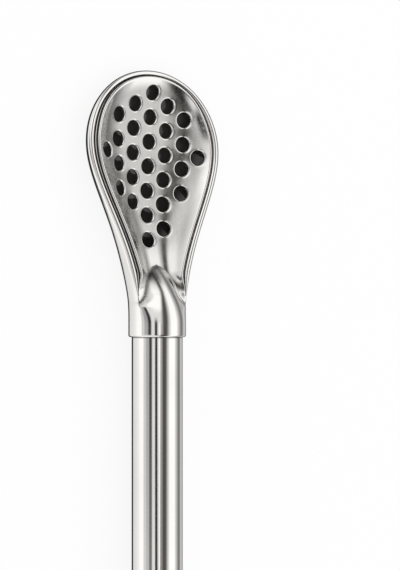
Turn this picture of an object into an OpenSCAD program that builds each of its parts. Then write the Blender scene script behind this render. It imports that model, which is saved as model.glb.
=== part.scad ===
// Bombilla: a drinking straw for mate with a spoon-shaped strainer head that pulls off for cleaning.
// It lies on its back. +Y runs along the straw to the tip of the head, +Z is the perforated face.

/* [Straw] */
// Outer diameter of the straw
tube_d = 8.1; // [7:0.1:10]
// Wall of the straw
tube_wall = 0.5; // [0.3:0.05:0.8]
// Length of straw that shows between the head and the mouthpiece
tube_show = 124; // [90:1:200]

/* [Mouthpiece] */
// Length of the mouthpiece
mouth_len = 26; // [18:1:40]
// Length of straw inside the mouthpiece
mouth_grip = 18; // [8:1:30]
// Wall of the mouthpiece collar
mouth_wall = 0.5; // [0.4:0.05:1]
// How much narrower the mouthpiece's bore is than the straw's
lip_step = 0.25; // [0.1:0.05:0.5]
// Wall of the mouthpiece between the lips
lip_wall = 0.8; // [0.5:0.05:1]
// Radius of the rolled bead at the lower edge of the mouthpiece
mouth_bead = 0.3; // [0.2:0.05:0.6]
// Radial room for solder between the mouthpiece and the straw
solder_gap = 0.02; // [0.01:0.01:0.05]

/* [Sleeve of the head] */
// Wall of the sleeve that grips the straw
sleeve_wall = 0.49; // [0.4:0.01:0.8]
// Length of straw that goes into the sleeve
grip_len = 6; // [4:0.25:7]
// Length of the shoulder that the straw stops against
stop_len = 0.5; // [0.3:0.1:1]
// How far the shoulder stands inside the sleeve
stop_step = 0.45; // [0.2:0.05:0.6]
// Radial running clearance between sleeve and straw
slide_fit = 0.03; // [0.01:0.01:0.1]

/* [Spoon outline] */
// Half of the greatest width of the head
head_half_w = 12.1; // [10:0.1:15]
// Distance from the mouth of the sleeve to the widest place of the head
head_wide_at = 30.2; // [26:0.1:38]
// Distance from the mouth of the sleeve to the start of the flare
flare_from = 3; // [2:0.1:4]
// Fullness of the flare: a higher value keeps the neck slender for longer
flare_power = 1.35; // [1:0.05:1.6]
// Share of the flare that starts at once from the neck
flare_swell = 0.22; // [0:0.01:0.4]

/* [Spoon section] */
// Sheet thickness of the back shell
shell_wall = 0.5; // [0.35:0.05:0.8]
// How far the back bulges below the sleeve
bowl_drop = 0.95; // [0.4:0.05:2]
// Fullness of the back, where 2 is an ellipse
bowl_power = 2; // [2:0.1:3]
// Radius of the rolled rim
rim_r = 0.6; // [0.4:0.05:0.8]
// Height of the rim above the straw axis where the neck begins
rim_high = 1.55; // [1:0.05:2]
// Steady fall of the rim from the neck to the tip
rim_fall = 1.72; // [0.7:0.01:2.8]
// Backward bow of the head, which lowers the tip further
rim_bow = 2.435; // [0:0.005:3.8]
// Depth of the rolled lip under the rim
lip_depth = 0.35; // [0.2:0.05:0.6]
// Height of the upright wall between the back's widest line and the rim
wall_rise = 0.1; // [0.05:0.05:0.6]

/* [Strainer plate] */
// Sheet thickness of the strainer plate
plate_t = 0.5; // [0.35:0.05:0.7]
// Depth of the dish's floor below the straw axis
dish_floor = 2.9; // [2:0.1:3.5]
// Rise of the floor from the middle hole to the neck
floor_rise = 4.4; // [3:0.1:5.5]
// How flat the floor of the dish is, where 2 is a parabola
dish_power = 2.5; // [2:0.1:4]
// Width of the groove between the rim and the plate's crest
groove_w = 0.3; // [0.2:0.05:0.5]
// Clearance between the plate and the shell that holds it
plate_fit = 0.05; // [0.03:0.01:0.1]
// Bevel under the plate's flange, which follows the wall of the bowl
flange_bevel = 0.65; // [0.5:0.05:0.8]
// Length of the tongue where the plate falls from the neck into the dish
tongue_len = 4.7; // [3.5:0.1:7]

/* [Perforation] */
// Spacing of the columns, as a share of the head's half width
column_share = 0.2463; // [0.22:0.0001:0.26]
// Spacing of the holes along a column, as a share of the plate's length
row_share = 0.1092; // [0.1:0.0001:0.115]
// Diameter of a hole, as a share of the spacing of the columns
hole_share = 0.78; // [0.6:0.001:0.9]
// Place of the middle hole, as a share of the plate's length from the neck
middle_share = 0.5754; // [0.52:0.0001:0.6]
// Turn of the whole pattern
holes_turn = 4; // [-8:0.5:8]

/* [Hidden] */
$fn = 64;
steel = [0.78, 0.77, 0.75];

tube_r = tube_d / 2;
bore_r = tube_r - tube_wall;
socket_r = tube_r + slide_fit;
sleeve_r = socket_r + sleeve_wall;
sleeve_len = grip_len + stop_len;
tip_at = head_wide_at + head_half_w;
mouth_at = -tube_show - mouth_len;
mouth_bore_r = bore_r - lip_step;
low_z = -sleeve_r - bowl_drop;
origin = [0, (tip_at + mouth_at) / 2, low_z];

plate_len = tip_at - sleeve_len;
column_pitch = head_half_w * column_share;
hole_pitch = plate_len * row_share;
hole_d = column_pitch * hole_share;
holes_at = sleeve_len + plate_len * middle_share;
// A column of holes is [column number, first hole, last hole], counted from the middle hole.
hole_columns = [
    [-3, 0.5, 0.5], [-2, -1, 2], [-1, -1.5, 2.5], [0, -3, 3], [1, -2.5, 2.5], [2, -1, 2], [3, 0.5, 0.5]
];

// Facets: stations along a flank, rays round the tip, steps across the back, the dish and the rim
flank_n = 20;
tip_n = 18;
back_n = 9;
dish_n = 11;
rim_n = 6;
ray_n = 2 * flank_n + tip_n;
// Stations crowd towards the neck, where the form changes fastest.
station_power = 1.4;
// Lengths over which the rim and the bowl grow from the neck to their full section
rim_grow = 4;
bowl_grow = 11;
// Sections at the neck: rim radius, rim inset and groove are a share of the sleeve's wall.
neck_rim_r = sleeve_wall * 0.2;
neck_inset_u = sleeve_wall * 0.35;
neck_groove_w = sleeve_wall * 0.1;
// Width over which the shell's widest line turns into the rim's line
widest_blend = 0.6;
// Crest of the plate below the rim's top
crest_low = 0.1;
tongue_end_z = -0.5;
tongue_power = 1.6;
tongue_taper = 0.6;
tongue_round_neck = 0.75;
tongue_round_tip = 1.3;
// Least overhang of the rolled lip inside the shell's wall, where the neck leaves it little room
lip_min = 0.1;

function clamp01(t) = min(max(t, 0), 1);
function ease(t) = let(c = clamp01(t)) c * c * (3 - 2 * c);
function mix(a, b, t) = a + (b - a) * t;
function soft_min(a, b, k) = min(a, b) - pow(max(k - abs(a - b), 0), 2) / (4 * k);

// Plan of the head: half width at a distance y from the sleeve's mouth
// The flare starts in the middle of the sleeve's wall, so that the two fuse.
neck_half_w = sleeve_r - sleeve_wall / 2;
function half_width(y) =
    let(t = clamp01((y - flare_from) / (head_wide_at - flare_from)))
    mix(neck_half_w, head_half_w, mix(ease(pow(t, flare_power)), t * (2 - t), flare_swell));

// Heights and section sizes along the head
function grown(y) = ease((y - sleeve_len) / rim_grow);
function rim_top(y) = let(t = (y - sleeve_len) / plate_len) rim_high - rim_fall * t - rim_bow * t * abs(t);
function rim_radius(y) = mix(neck_rim_r, rim_r, grown(y));
function rim_inset(y) = mix(neck_inset_u, 0, grown(y));
function rim_mid(y) = rim_top(y) - rim_radius(y);
function widest_z(y) = soft_min(0, rim_mid(y) - wall_rise, widest_blend);
function bottom_z(y) = -mix(neck_half_w, sleeve_r + bowl_drop, ease((y - flare_from) / bowl_grow));
function back_power(y) = 2 / mix(2, bowl_power, ease((y - sleeve_len) / bowl_grow));
function groove(y) = mix(neck_groove_w, groove_w, grown(y));
function lip_z(y) = rim_mid(y) - lip_depth;
function lip_u(w, y) = min(w - rim_inset(y) - 2 * rim_radius(y), w - shell_wall - lip_min);

// A ray runs from the spine of the head to its outline: up one flank, round the tip, down the other.
function flank_y(i, from) = mix(from, head_wide_at, pow(i / flank_n, station_power));
function ray(k, from) =
    let(i = min(k, ray_n - k), a = 180 * (k - flank_n) / tip_n)
    i >= flank_n
        ? [head_wide_at, head_half_w, cos(a), sin(a)]
        : [flank_y(i, from), half_width(flank_y(i, from)), k < flank_n ? 1 : -1, 0];
function on_ray(r, u, z) = [r[2] * u, r[0] + r[3] * u, z];
function ray_y(r, u) = r[0] + r[3] * u;

// Section of the back shell along one ray, from the spine outside, over the rim, to the spine inside
function back_point(r, a, half_w, floor_z, high_z) =
    let(p = back_power(r[0]), u = half_w * pow(cos(a), p), top_z = min(widest_z(ray_y(r, u)), high_z))
    on_ray(r, u, mix(floor_z, top_z, 1 - pow(sin(a), p)));
function shell_section(r) =
    let(w = r[1], y_rim = ray_y(r, w), rr = rim_radius(y_rim), u_rim = w - rim_inset(y_rim),
        z_rim = rim_mid(y_rim), z_lip = lip_z(y_rim), z_wide = widest_z(y_rim), floor_z = bottom_z(r[0]))
    concat(
        [for (j = [0:back_n]) back_point(r, 90 - 90 * j / back_n, w, floor_z, rim_high)],
        [on_ray(r, mix(w, u_rim, 0.3), mix(z_wide, z_rim, 0.6))],
        [for (j = [0:rim_n]) let(a = 180 * j / rim_n)
            on_ray(r, u_rim - rr + rr * cos(a), z_rim + rr * sin(a))],
        [on_ray(r, lip_u(w, y_rim), z_lip), on_ray(r, w - shell_wall, z_lip)],
        [for (j = [0:back_n])
            back_point(r, 90 * j / back_n, w - shell_wall, floor_z + shell_wall, z_lip - lip_min)]
    );

// Height of the plate's upper face: a dish, with the tongue that comes down into it from the neck
crest_neck_u = lip_u(half_width(sleeve_len), sleeve_len) - plate_fit - neck_groove_w;
crest_neck_z = sqrt(pow(sleeve_r, 2) - pow(crest_neck_u, 2));
function crest_z(y) = rim_top(y) - crest_low + (crest_neck_z - rim_high + crest_low) * (1 - grown(y));
function floor_z(y) = -dish_floor + floor_rise * pow(clamp01((holes_at - y) / (holes_at - sleeve_len)), 2);
function dish_z(u, y, crest_u) = mix(floor_z(y), crest_z(y), pow(min(u / crest_u, 1), dish_power));
function tongue_z(u, y, crest_u) =
    let(s = clamp01((y - sleeve_len) / tongue_len), half_w = crest_u * pow(1 - s, tongue_taper) + 0.001,
        top_z = mix(sleeve_r, tongue_end_z, pow(s, tongue_power)),
        round_p = mix(tongue_round_neck, tongue_round_tip, s))
    s >= 1 ? 0 : max(top_z - floor_z(y), 0) * pow(max(1 - pow(u / half_w, 2), 0), round_p);
function plate_z(u, y, crest_u) = dish_z(u, y, crest_u) + tongue_z(u, y, crest_u);

// Section of the plate along one ray: the upper face, the crest, the leg, the flange and the under face
function plate_section(r) =
    let(w = r[1], y_rim = ray_y(r, w),
        wall_u = w - shell_wall - plate_fit,
        leg_u = lip_u(w, y_rim) - plate_fit,
        crest_u = leg_u - groove(y_rim), y_leg = ray_y(r, leg_u),
        flange_z = lip_z(y_rim) - plate_fit, under_u = leg_u - plate_t)
    concat(
        [for (j = [0:dish_n]) let(u = crest_u * j / dish_n) on_ray(r, u, plate_z(u, ray_y(r, u), crest_u))],
        [on_ray(r, mix(crest_u, leg_u, 0.7), crest_z(y_leg) - 0.3 * groove(y_leg)),
         on_ray(r, leg_u, crest_z(y_leg) - groove(y_leg)),
         on_ray(r, leg_u, flange_z), on_ray(r, wall_u, flange_z),
         on_ray(r, wall_u - flange_bevel, flange_z - plate_t), on_ray(r, under_u, flange_z - plate_t)],
        [for (j = [dish_n:-1:0]) let(u = under_u * j / dish_n)
            on_ray(r, u, plate_z(u, ray_y(r, u), crest_u) - plate_t)]
    );

// A solid from the sections of all rays. Its first and last points lie on the spine, where rays meet.
module ray_solid(sections) {
    m = len(sections[0]);
    n = len(sections) - 1;
    half = flank_n;
    function id(k, j) =
        let(s = min(k, n - k, half))
        j == 0 ? s : j == m - 1 ? half + 1 + s : 2 * (half + 1) + k * (m - 2) + j - 1;
    spine = concat([for (s = [0:half]) sections[s][0]], [for (s = [0:half]) sections[s][m - 1]]);
    rest = [for (k = [0:n]) for (j = [1:m - 2]) sections[k][j]];
    sides = [for (k = [0:n - 1]) for (j = [0:m - 2])
        each quad(id(k, j), id(k, j + 1), id(k + 1, j + 1), id(k + 1, j))];
    // The two cut ends at the neck, each closed across the sheet's thickness
    ends = [for (j = [0:m / 2 - 2])
        each concat(quad(id(0, j), id(0, m - 1 - j), id(0, m - 2 - j), id(0, j + 1)),
                    quad(id(n, j), id(n, j + 1), id(n, m - 2 - j), id(n, m - 1 - j)))];
    polyhedron(points = concat(spine, rest), faces = concat(sides, ends), convexity = 6);
}
function quad(a, b, c, d) =
    a == d ? [[a, b, c]] : b == c ? [[a, b, d]] : [[a, b, c], [a, c, d]];

// A round bar or bore along +Y
module along_y(r, from, to) {
    translate([0, from, 0]) rotate([-90, 0, 0]) cylinder(r = r, h = to - from);
}

module back_shell() {
    color(steel) translate(-origin) difference() {
        union() {
            ray_solid([for (k = [0:ray_n]) shell_section(ray(k, flare_from))]);
            along_y(sleeve_r, 0, sleeve_len);
        }
        along_y(socket_r, -1, grip_len);
        along_y(socket_r - stop_step, -1, sleeve_len + 1);
    }
}

module strainer_plate() {
    color(steel) translate(-origin) difference() {
        ray_solid([for (k = [0:ray_n]) plate_section(ray(k, sleeve_len + plate_fit))]);
        translate([0, holes_at, 0]) rotate(-holes_turn) for (c = hole_columns) for (m = [c[1]:c[2]])
            translate([c[0] * column_pitch, m * hole_pitch, low_z]) cylinder(d = hole_d, h = rim_high - low_z);
    }
}

module straw_tube() {
    color(steel) translate(-origin) difference() {
        along_y(tube_r, mouth_at + mouth_len - mouth_grip, grip_len);
        along_y(bore_r, mouth_at, grip_len + 1);
    }
}

// The collar is turned about the straw's axis and tapers to round lips. Its lower edge has a rolled bead.
module mouthpiece() {
    grip_r = tube_r + solder_gap;
    collar_r = grip_r + mouth_wall;
    seat = mouth_len - mouth_grip;
    lip_mid = lip_wall / 2;
    color(steel) translate(-origin) translate([0, mouth_at, 0]) rotate([-90, 0, 0]) rotate_extrude()
        difference() {
            union() {
                polygon([
                    [mouth_bore_r, lip_mid], [mouth_bore_r + lip_wall, lip_mid],
                    [collar_r, seat + mouth_grip / 2], [collar_r, mouth_len], [mouth_bore_r, mouth_len]
                ]);
                translate([mouth_bore_r + lip_mid, lip_mid]) circle(r = lip_mid);
                translate([collar_r, mouth_len - mouth_bead]) circle(r = mouth_bead);
            }
            translate([0, seat]) square([grip_r, mouth_grip + 1]);
        }
}

back_shell();
strainer_plate();
straw_tube();
mouthpiece();
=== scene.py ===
# %% [markdown]
# # A bombilla in polished steel
#
# A bombilla is the metal straw that mate is drunk through. Its lower end is a hollow spoon: a bowl behind,
# and a dished plate with small holes in front that keeps the leaves out. The spoon slides off the straw, so
# that both can be washed. A finished CAD model gives the places and the sizes. This lesson dresses it with
# finer meshes, the finishes of the steel, the light and the camera.

# %% Load the frame
import math

import bpy
import bmesh
from mathutils import Matrix, Vector
from mathutils.geometry import delaunay_2d_cdt


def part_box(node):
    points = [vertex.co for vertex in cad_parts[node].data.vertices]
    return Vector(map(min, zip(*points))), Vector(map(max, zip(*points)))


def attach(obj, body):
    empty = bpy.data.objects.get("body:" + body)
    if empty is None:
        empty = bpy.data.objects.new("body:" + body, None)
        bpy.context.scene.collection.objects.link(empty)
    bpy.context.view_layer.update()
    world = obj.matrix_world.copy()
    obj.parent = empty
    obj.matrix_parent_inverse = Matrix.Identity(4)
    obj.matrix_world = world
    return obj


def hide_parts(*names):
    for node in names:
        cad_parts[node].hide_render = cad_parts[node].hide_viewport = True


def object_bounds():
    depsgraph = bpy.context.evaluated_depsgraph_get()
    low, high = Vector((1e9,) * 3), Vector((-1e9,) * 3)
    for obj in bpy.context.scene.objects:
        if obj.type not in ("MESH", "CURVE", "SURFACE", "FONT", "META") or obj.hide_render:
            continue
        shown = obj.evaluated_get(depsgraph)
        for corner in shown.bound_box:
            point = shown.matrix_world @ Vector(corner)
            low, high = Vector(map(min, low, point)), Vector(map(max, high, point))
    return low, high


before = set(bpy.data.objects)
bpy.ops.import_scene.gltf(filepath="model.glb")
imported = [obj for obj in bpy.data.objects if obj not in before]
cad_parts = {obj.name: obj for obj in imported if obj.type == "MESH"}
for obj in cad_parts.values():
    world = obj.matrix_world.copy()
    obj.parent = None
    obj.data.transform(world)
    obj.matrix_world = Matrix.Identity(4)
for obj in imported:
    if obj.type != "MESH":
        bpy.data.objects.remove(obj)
cad_low, cad_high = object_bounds()

# %% [markdown]
# ## Sizes
#
# A maker thinks in millimetres and Blender works in metres, so every form below is worked out in millimetres
# and scaled once, when its mesh is made. Distances along the straw are counted from the mouth of the sleeve
# that grips it, and heights from the straw's axis. These are the CAD model's own driving sizes.

# %% Driving sizes in millimetres
MM = 0.001
TUBE_R = 4.05
TUBE_WALL = 0.5
SOCKET_R = 4.08
SLEEVE_R = 4.57
GRIP_LEN = 6.0
SLEEVE_LEN = 6.5
STOP_R = 3.63
HEAD_HALF_W = 12.1
HEAD_WIDE_AT = 30.2
FLARE_FROM = 3.0
BOWL_DROP = 0.95
SHEET = 0.5
TIP_AT = HEAD_WIDE_AT + HEAD_HALF_W
PLATE_LEN = TIP_AT - SLEEVE_LEN

# The CAD box has its origin under the middle of the object. The axis and the sleeve's mouth follow from it.
AXIS_Z = SLEEVE_R + BOWL_DROP
SLEEVE_MOUTH_Y = cad_high.y / MM - TIP_AT
print("axis height", AXIS_Z, "mm, sleeve mouth at", round(SLEEVE_MOUTH_Y, 3), "mm")


def in_frame(x, y, z):
    """A point in millimetres from the sleeve's mouth and the straw's axis, as metres in the CAD frame."""
    return Vector((x, y + SLEEVE_MOUTH_Y, z + AXIS_Z)) * MM


def in_mm(place):
    """The way back: a place in the CAD frame as x, y and z in millimetres."""
    return place.x / MM, place.y / MM - SLEEVE_MOUTH_Y, place.z / MM - AXIS_Z


# %% [markdown]
# ## The curves of the spoon
#
# The spoon has no flat or round part that a primitive could start from: its outline swells from the neck,
# its rim falls towards the tip in a slow bow, and its back goes from a round tube to a full bowl. A few
# curves along the length say all of that. An ease curve, which leaves and arrives gently, blends one value
# into the next, and it is the blend that makes the steel look drawn from one sheet.

# %% Blending helpers
def clamp01(t):
    return min(max(t, 0.0), 1.0)


def ease(t):
    c = clamp01(t)
    return c * c * (3 - 2 * c)


def mix(a, b, t):
    return a + (b - a) * t


def soft_max(a, b, blend):
    return max(a, b) + max(blend - abs(a - b), 0) ** 2 / (4 * blend)


def soft_min(a, b, blend):
    return -soft_max(-a, -b, blend)


def turns(whole, steps):
    """Angles that divide a whole turn evenly, with both ends."""
    return [whole * i / steps for i in range(steps + 1)]


def stations(start, end, steps, power=1):
    """Values from start to end, with both ends. A power over 1 crowds them towards the start."""
    return [mix(start, end, (i / steps) ** power) for i in range(steps + 1)]


print("an ease passes", [round(ease(t / 4), 3) for t in range(5)])

# %% [markdown]
# The outline leaves the sleeve slowly and swells to the widest place, and the back sinks a little below the
# sleeve. Both are blended into the round sleeve, so that the neck has no seam.

# %% Outline and back
FLARE_UNDER = 0.245
NECK_HALF_W = SLEEVE_R - FLARE_UNDER
NECK_BLEND = 0.25
FLARE_POWER = 1.35
FLARE_SWELL = 0.22
BACK_LEN = 11.0


def half_width(y):
    """Half width of the spoon's outline."""
    t = clamp01((y - FLARE_FROM) / (HEAD_WIDE_AT - FLARE_FROM))
    flare = mix(ease(t ** FLARE_POWER), t * (2 - t), FLARE_SWELL)
    return soft_max(SLEEVE_R, mix(NECK_HALF_W, HEAD_HALF_W, flare), NECK_BLEND)


def back_depth(y):
    """Depth of the back below the straw's axis."""
    t = ease((y - FLARE_FROM) / BACK_LEN)
    return min(soft_max(SLEEVE_R, mix(NECK_HALF_W, SLEEVE_R + BOWL_DROP, t), NECK_BLEND), AXIS_Z)


for title, place in (("neck", SLEEVE_LEN), ("widest place", HEAD_WIDE_AT)):
    print(title, "half width", round(half_width(place), 3), "mm, depth", round(back_depth(place), 3), "mm")

# %% [markdown]
# The edge of the bowl is rolled to a bead, which stiffens thin sheet and hides its cut edge. The bead grows
# out of the neck's plain wall, falls towards the tip in a slow bow and gets thinner round it.

# %% Rolled rim
RIM_R = 0.6
NECK_RIM_R = 0.098
TIP_RIM_R = 0.42
TIP_FROM = 33.0
RIM_GROW = 4.0
RIM_HIGH = 1.55
RIM_FALL = 1.72
RIM_BOW = 2.435
WALL_RISE = 0.1
WALL_BLEND = 0.6


def grown(y):
    """How far the rim has grown out of the neck, from 0 to 1."""
    return ease((y - SLEEVE_LEN) / RIM_GROW)


def rim_top(y):
    t = (y - SLEEVE_LEN) / PLATE_LEN
    return RIM_HIGH - RIM_FALL * t - RIM_BOW * t * abs(t)


def at_tip(y):
    return ease((y - TIP_FROM) / (TIP_AT - TIP_FROM))


def rim_radius(y):
    return mix(NECK_RIM_R, mix(RIM_R, TIP_RIM_R, at_tip(y)), grown(y))


def rim_mid(y):
    return rim_top(y) - rim_radius(y)


def rim_inset(y):
    """How far the wall leans in under the rim: at the neck it still follows the round sleeve."""
    lean = 1 - math.sqrt(1 - (rim_mid(SLEEVE_LEN) / SLEEVE_R) ** 2)
    return mix(half_width(SLEEVE_LEN) * lean, 0, grown(y))


def widest_z(y):
    return soft_min(0, rim_mid(y) - WALL_RISE, WALL_BLEND)


print("rim top", [round(rim_top(place), 3) for place in (SLEEVE_LEN, HEAD_WIDE_AT, TIP_AT)], "mm")

# %% [markdown]
# ## Rays across the head
#
# A loft needs sections. Along the flanks they stand square to the straw. Round the tip they turn like the
# ribs of a fan about the middle of the widest place, so that the rim stays evenly divided. Each section is a
# ray: where it starts on the spine, how wide the head is there and which way it points.

# %% Rays
FLANK_STEPS = 96
FLANK_CROWD = 1.3
TIP_STEPS = 96


def rays(start):
    """Each ray is (spine y, half width, sideways part, forward part of its direction). They stand closer
    together near the neck, where the form changes fastest."""
    places = stations(start, HEAD_WIDE_AT, FLANK_STEPS, FLANK_CROWD)[:-1]
    right = [(y, half_width(y), 1.0, 0.0) for y in places]
    tip = [(HEAD_WIDE_AT, HEAD_HALF_W, math.cos(a), math.sin(a)) for a in turns(math.pi, TIP_STEPS)]
    left = [(y, w, -1.0, 0.0) for y, w, _, _ in reversed(right)]
    return right + tip + left


def along(ray, u):
    """Place along the straw of the point that lies u out on a ray."""
    return ray[0] + ray[3] * u


def on_ray(ray, u, z):
    return (ray[2] * u, along(ray, u), z)


head_rays = rays(SLEEVE_LEN)
print(len(head_rays), "rays")

# %% [markdown]
# ## The back shell
#
# The shell is one sheet: a sleeve that grips the straw, a neck, the bowl behind and a rolled rim in front.
# Blender has no loft tool, and extruding and scaling loops by hand would not keep the rim's curves, so the
# sections are worked out ray by ray and skinned. One section runs from the spine outside, round the back, up
# the wall, over the rolled bead, under its lip and back along the inside.

# %% Section of the bowl
BACK_STEPS = 22
BACK_ANGLES = [math.pi / 2 * (1 - step / BACK_STEPS) for step in range(BACK_STEPS + 1)]
WALL_STEPS = 4
BEAD_STEPS = 12
LIP_DEPTH = 0.35
LIP_MIN = 0.1


def lip_u(w, y):
    return w - rim_inset(y) - 2 * rim_radius(y)


def lip_z(y):
    return rim_mid(y) - LIP_DEPTH


def back_arc(ray, half_w, spine_z, ceiling):
    """Points of the back from the spine to the widest line."""
    points = []
    for a in BACK_ANGLES:
        u = half_w * math.cos(a)
        top_z = min(widest_z(along(ray, u)), ceiling)
        points.append(on_ray(ray, u, mix(spine_z, top_z, 1 - math.sin(a))))
    return points


def shell_section(ray):
    """The outside and then the inside of the bowl along one ray."""
    w = ray[1]
    y_rim = along(ray, w)
    bead_r = rim_radius(y_rim)
    inset = rim_inset(y_rim)
    low, high = widest_z(y_rim), rim_mid(y_rim)
    spine_z = -back_depth(ray[0])
    outside = back_arc(ray, w, spine_z, RIM_HIGH)
    for t in stations(0, 1, WALL_STEPS)[1:-1]:
        outside.append(on_ray(ray, w - inset * t * t, mix(low, high, t)))
    bead_u = w - inset - bead_r
    for a in turns(math.pi, BEAD_STEPS):
        outside.append(on_ray(ray, bead_u + bead_r * math.cos(a), high + bead_r * math.sin(a)))
    ledge = lip_z(y_rim)
    wall_u = w - SHEET
    inside = [on_ray(ray, lip_u(w, y_rim), ledge), on_ray(ray, wall_u, ledge)]
    inside += reversed(back_arc(ray, wall_u, spine_z + SHEET, ledge - LIP_MIN))
    return outside + inside


print("a section has", len(shell_section(head_rays[0])), "points")

# %% [markdown]
# Skinning is what a loft tool does: the sections become rows of points, and each row is joined to the next
# with faces. Points that fall together are merged, so that light runs on over the joints, and the faces are
# turned outwards.

# %% Skin helpers
WELD = 0.004


def add_rows(mesh, rows, close_rows=False):
    """Adds rows of points to a bmesh and joins neighbouring rows with faces. Returns the new vertices."""
    made = [[mesh.verts.new(in_frame(*p)) for p in row] for row in rows]
    for first, second in zip(made, made[1:]):
        count = len(first)
        for j in range(count if close_rows else count - 1):
            k = (j + 1) % count
            mesh.faces.new((first[j], first[k], second[k], second[j]))
    return made


def to_object(mesh, name):
    """Turns a bmesh into an object at the origin."""
    data = bpy.data.meshes.new(name)
    mesh.to_mesh(data)
    mesh.free()
    piece = bpy.data.objects.new(name, data)
    bpy.context.scene.collection.objects.link(piece)
    return piece


def to_piece(mesh, name):
    """The same for a piece of steel, with its doubles merged and its faces outwards."""
    bmesh.ops.remove_doubles(mesh, verts=mesh.verts, dist=WELD * MM)
    bmesh.ops.recalc_face_normals(mesh, faces=mesh.faces)
    return to_object(mesh, name)


# %% [markdown]
# What is left open is closed in edit mode, as it is by hand: the open loops are selected and then bridged or
# filled. Edges sharper than a set angle stay sharp, and all others shade smooth.

# %% Closing helpers
SHARP_FROM = math.radians(35)


def choose(piece):
    """Makes one object the only one that the next operator acts on."""
    bpy.ops.object.select_all(action="DESELECT")
    piece.select_set(True)
    bpy.context.view_layer.objects.active = piece


def finish_mesh(piece):
    """Shades a piece smooth and counts the edges without two faces: none means that it is closed."""
    choose(piece)
    bpy.ops.object.shade_smooth_by_angle(angle=SHARP_FROM)
    check = bmesh.new()
    check.from_mesh(piece.data)
    open_edges = sum(1 for edge in check.edges if len(edge.link_faces) != 2)
    check.free()
    print(piece.name, len(piece.data.polygons), "faces,", open_edges, "open edges")


def leave_edit_mode():
    """Turns all faces outwards and goes back to object mode."""
    bpy.ops.mesh.select_all(action="SELECT")
    bpy.ops.mesh.normals_make_consistent(inside=False)
    bpy.ops.object.mode_set(mode="OBJECT")


def close_up(piece, join):
    """Closes what is open with the join operator, a bridge or a fill."""
    choose(piece)
    bpy.ops.object.mode_set(mode="EDIT")
    bpy.ops.mesh.select_mode(type="EDGE")
    bpy.ops.mesh.select_all(action="DESELECT")
    bpy.ops.mesh.select_non_manifold()
    join()
    leave_edit_mode()
    finish_mesh(piece)


# %% [markdown]
# The bowl's sections go into one mesh. It stays open at the neck until the sleeve is added.

# %% Skin the bowl
shell_mesh = bmesh.new()
add_rows(shell_mesh, [shell_section(ray) for ray in head_rays])
print("bowl:", len(shell_mesh.verts), "points")

# %% [markdown]
# The sleeve's top has to flow into the front plate, so the plate's form comes first. Beside the rolled rim
# the plate rises to a rounded crest, and a narrow groove lies between the two.

# %% Crest and groove
PLATE_FIT = 0.05
CREST_LOW = 0.1
CREST_HIGH = 0.32
CREST_R = 0.3
GROOVE_WIDE = 0.58
TIP_GROOVE = 0.3
NECK_GROOVE = 0.049


def crest_radius(y):
    return mix(NECK_GROOVE, CREST_R, grown(y))


def groove_width(y):
    return mix(NECK_GROOVE, mix(GROOVE_WIDE, TIP_GROOVE, at_tip(y)), grown(y))


def crest_half(ray):
    """How far out on a ray the dish reaches: up to the groove beside the lip."""
    y_rim = along(ray, ray[1])
    return lip_u(ray[1], y_rim) - PLATE_FIT - groove_width(y_rim)


def crest_z(y):
    return rim_top(y) + mix(-CREST_LOW, CREST_HIGH, grown(y))


print("crest at the widest place", round(crest_z(HEAD_WIDE_AT), 3), "mm")

# %% [markdown]
# Inside the crest the plate is a shallow dish. Its floor rises towards the neck, and its wall is steeper and
# narrower round the tip.

# %% Floor of the dish
DISH_FLOOR = 2.9
FLOOR_RISE = 4.4
DISH_POWER = 2.5
TIP_POWER = 5.0
TIP_DEEPER = 0.3
TIP_REACH = 11.0
HOLES_AT = 27.1


def near_tip(y):
    return ease((y - HOLES_AT) / TIP_REACH)


def floor_z(y):
    rise = FLOOR_RISE * clamp01((HOLES_AT - y) / (HOLES_AT - SLEEVE_LEN)) ** 2
    return rise - DISH_FLOOR - TIP_DEEPER * near_tip(y)


def dish_power(y):
    """How late the wall of the dish rises."""
    return mix(DISH_POWER, TIP_POWER, near_tip(y))


def dish_z(u, y, crest):
    return mix(floor_z(y), crest_z(y), min(u / crest, 1) ** dish_power(y))


print("floor of the dish at its middle hole", floor_z(HOLES_AT), "mm")

# %% [markdown]
# From the neck a tongue comes down into the dish: the round top of the sleeve, pressed lower and narrower
# until it ends in a round nose.

# %% Tongue
TONGUE_FROM = 2.0
TONGUE_SET = 7.0
TONGUE_END = 11.36
TONGUE_DROP = 4.77
TONGUE_WIDE = 1.62
TONGUE_TAPER = 0.46
TONGUE_ROUND = 0.95


def tongue_half(y):
    """Half width of the tongue, which narrows from the neck to a rounded end."""
    return TONGUE_WIDE * max(TONGUE_END - y, 0) ** TONGUE_TAPER


def tongue_top(y):
    return SLEEVE_R - TONGUE_DROP * ((y - TONGUE_FROM) / (TONGUE_END - TONGUE_FROM)) ** 2


def pressed_z(u, y, crest):
    """Height of the dish with the tongue on it."""
    ground = dish_z(u, y, crest)
    if y >= TONGUE_END:
        return ground
    rise = max(tongue_top(y) - floor_z(y), 0)
    return ground + rise * (1 - clamp01(u / tongue_half(y)) ** 2) ** TONGUE_ROUND


print("tongue", round(2 * tongue_half(TONGUE_SET), 3), "mm wide where it leaves the sleeve")

# %% [markdown]
# Towards the neck each ring of the sleeve sinks from the round tube to the tongue's own section, so that a
# reflection flows from one into the other. The middle starts to sink early and the flanks follow late, as
# sheet does that is pressed over a former. How far a point sinks is found by halving: it is moved towards
# the axis until it lies on the tongue's section.

# %% Neck
WALL_TOP = math.asin(rim_mid(SLEEVE_LEN) / SLEEVE_R)
SINK_STEPS = 240
SINK_START = math.radians(4)
SINK_LEAST = 0.1
SINK_HALVINGS = 30
HEIGHT_HALVINGS = 24
FLANK_FROM = 4.6
FLANK_WIDE = math.radians(40)


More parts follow.
